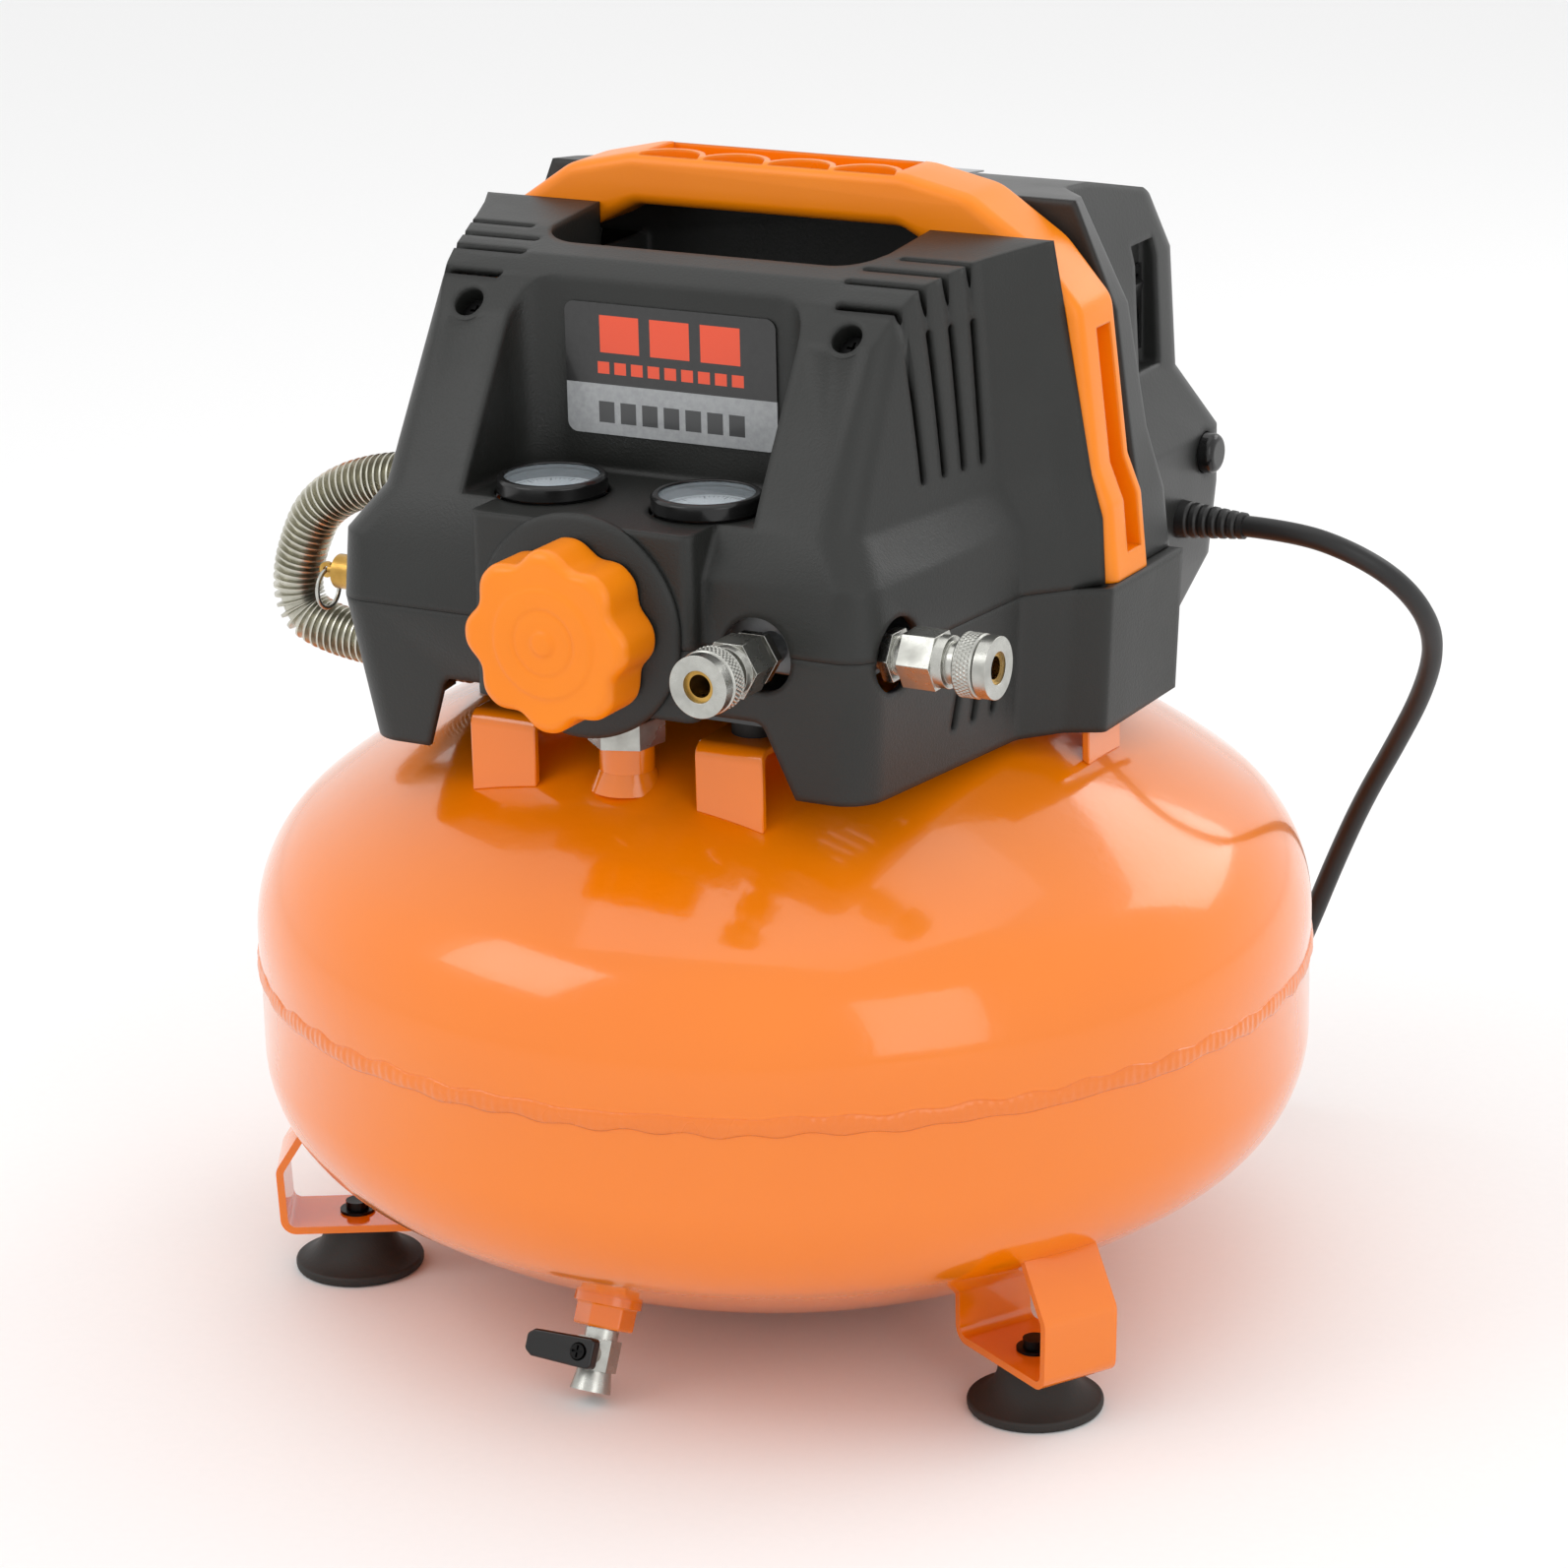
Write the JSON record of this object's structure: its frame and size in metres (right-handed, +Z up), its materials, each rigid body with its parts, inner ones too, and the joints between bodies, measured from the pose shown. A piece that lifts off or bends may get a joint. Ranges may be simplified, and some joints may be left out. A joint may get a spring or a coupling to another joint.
{
  "type": "pancake air compressor",
  "caption": "Portable pancake air compressor: dished tank on rubber feet, hooded pump and motor, carrying handle, regulator knob, gauges, hose couplers and a mains cord.",
  "frame": {"origin": "on the floor below the centre of the tank", "axes": "+Z up, front with the knob and gauges towards -Y, +X to the right seen from the front"},
  "size_m": [0.4226, 0.4527, 0.444],
  "materials": {
    "tank_enamel": "gloss orange enamel",
    "orange_plastic": "satin moulded orange",
    "black_plastic": "fine textured black",
    "charcoal_plastic": "smoother charcoal",
    "rubber": "moulded rubber",
    "zinc_steel": "zinc plated",
    "knurled_steel": "turned and plated",
    "brass": "machined brass",
    "ball_chrome": "chromed",
    "plate_black": "black enamel",
    "cast_aluminium": "as cast",
    "gauge_black": "smooth black",
    "dial_white": "printed white",
    "gauge_lens": "clear",
    "needle": "painted pointer",
    "switch_black": "smooth black",
    "cord_jacket": "flexible jacket",
    "seal": "filled polymer",
    "iron": "cast",
    "bearing_steel": "ground",
    "lamination": "stacked sheet",
    "copper_wire": "enamelled copper",
    "fan_plastic": "moulded",
    "black_steel": "black oxide",
    "tube_aluminium": "finned tube"
  },
  "bodies": {
    "compressor": {"tank_upper_shell": "tank_enamel", "tank_lower_shell": "tank_enamel", "tank_girth_weld": "tank_enamel", "foot_bracket_front_left": "tank_enamel", "foot_bracket_front_right": "tank_enamel", "foot_bracket_rear": "tank_enamel", "rubber_feet": "rubber", "foot_bolts": "black_steel", "drain_boss": "tank_enamel", "drain_valve_body": "zinc_steel", "pump_brackets": "tank_enamel", "pump_grommets": "rubber", "base_plate": "plate_black", "tank_nipple": "tank_enamel", "check_valve": "zinc_steel", "manifold": "cast_aluminium", "coupler_body_front": "zinc_steel", "coupler_body_side": "zinc_steel", "coupler_seats": "brass", "safety_valve_body": "brass", "regulator_body": "cast_aluminium", "gauge_cases": "gauge_black", "gauge_dials": "dial_white", "gauge_lenses": "gauge_lens", "front_shroud": "black_plastic", "shroud_screws": "black_steel", "lower_shroud": "black_plastic", "rear_cover": "charcoal_plastic", "carry_handle": "orange_plastic", "switch_housing": "switch_black", "strain_relief": "cord_jacket", "crankcase": "cast_aluminium", "cylinder": "cast_aluminium", "cylinder_head": "cast_aluminium", "shaft_bearings": "bearing_steel", "motor_stator": "lamination", "stator_windings": "copper_wire", "motor_end_bracket": "cast_aluminium", "finned_discharge_tube": "tube_aluminium", "discharge_pipes": "tube_aluminium", "power_cord": "cord_jacket", "power_cord_coil": "cord_jacket", "power_plug": "cord_jacket"},
    "knob": {"regulator_knob": "orange_plastic"},
    "front_sleeve": {"coupler_sleeve_front": "knurled_steel"},
    "side_sleeve": {"coupler_sleeve_side": "knurled_steel"},
    "left_needle": {"gauge_needle_left": "needle"},
    "right_needle": {"gauge_needle_right": "needle"},
    "relief_stem": {"safety_valve_stem": "brass"},
    "relief_ring": {"safety_valve_ring": "zinc_steel"},
    "drain_handle": {"drain_lever": "gauge_black", "drain_ball_stem": "ball_chrome", "drain_lever_screw": "black_steel"},
    "power_key": {"switch_key": "switch_black"},
    "overload_button": {"reset_button": "switch_black"},
    "rotor": {"rotor_shaft": "bearing_steel", "cooling_fan": "fan_plastic", "eccentric": "iron"},
    "piston_assembly": {"piston": "cast_aluminium", "piston_seal": "seal"}
  },
  "joints": [
    {"name": "regulator_turn", "type": "hinge", "parent": "compressor", "child": "knob", "pos_m": [0, -0.1505, 0.3014], "axis": [0, -1, 0], "range_deg": [0, 1080]},
    {"name": "front_sleeve_pull", "type": "slide", "parent": "compressor", "child": "front_sleeve", "axis": [0, 1, 0], "range_m": [0, 0.0043], "stiffness_N_per_m": 800, "springref_m": -0.004},
    {"name": "side_sleeve_pull", "type": "slide", "parent": "compressor", "child": "side_sleeve", "axis": [-1, 0, 0], "range_m": [0, 0.0043], "stiffness_N_per_m": 800, "springref_m": -0.004},
    {"name": "left_gauge", "type": "hinge", "parent": "compressor", "child": "left_needle", "pos_m": [-0.0326, -0.109, 0.3375], "axis": [0, 0, -1], "range_deg": [0, 270], "stiffness_Nm_per_rad": 0.0005},
    {"name": "right_gauge", "type": "hinge", "parent": "compressor", "child": "right_needle", "pos_m": [0.0326, -0.109, 0.3375], "axis": [0, 0, -1], "range_deg": [0, 270], "stiffness_Nm_per_rad": 0.0005},
    {"name": "relief_pull", "type": "slide", "parent": "compressor", "child": "relief_stem", "axis": [-1, 0, 0], "range_m": [0, 0.003], "stiffness_N_per_m": 1500, "springref_m": -0.003},
    {"name": "relief_ring_swing", "type": "hinge", "parent": "relief_stem", "child": "relief_ring", "pos_m": [-0.1335, -0.11, 0.298], "axis": [0, 1, 0], "range_deg": [-25, 25]},
    {"name": "drain_turn", "type": "hinge", "parent": "compressor", "child": "drain_handle", "pos_m": [0, -0.15288, 0.01745], "axis": [0, -0.8934, 0.4493], "range_deg": [0, 90]},
    {"name": "power_rock", "type": "hinge", "parent": "compressor", "child": "power_key", "pos_m": [0.091, 0.118, 0.372], "axis": [0, -1, 0], "range_deg": [0, 20]},
    {"name": "overload_press", "type": "slide", "parent": "compressor", "child": "overload_button", "axis": [-1, 0, 0], "range_m": [0, 0.002], "stiffness_N_per_m": 600, "springref_m": -0.002},
    {"name": "motor_turn", "type": "hinge", "parent": "compressor", "child": "rotor", "pos_m": [0, 0.09, 0.322], "axis": [0, 1, 0], "continuous": true},
    {"name": "piston_stroke", "type": "slide", "parent": "compressor", "child": "piston_assembly", "axis": [1, 0, 0], "range_m": [-0.0095, 0.0095]}
  ]
}
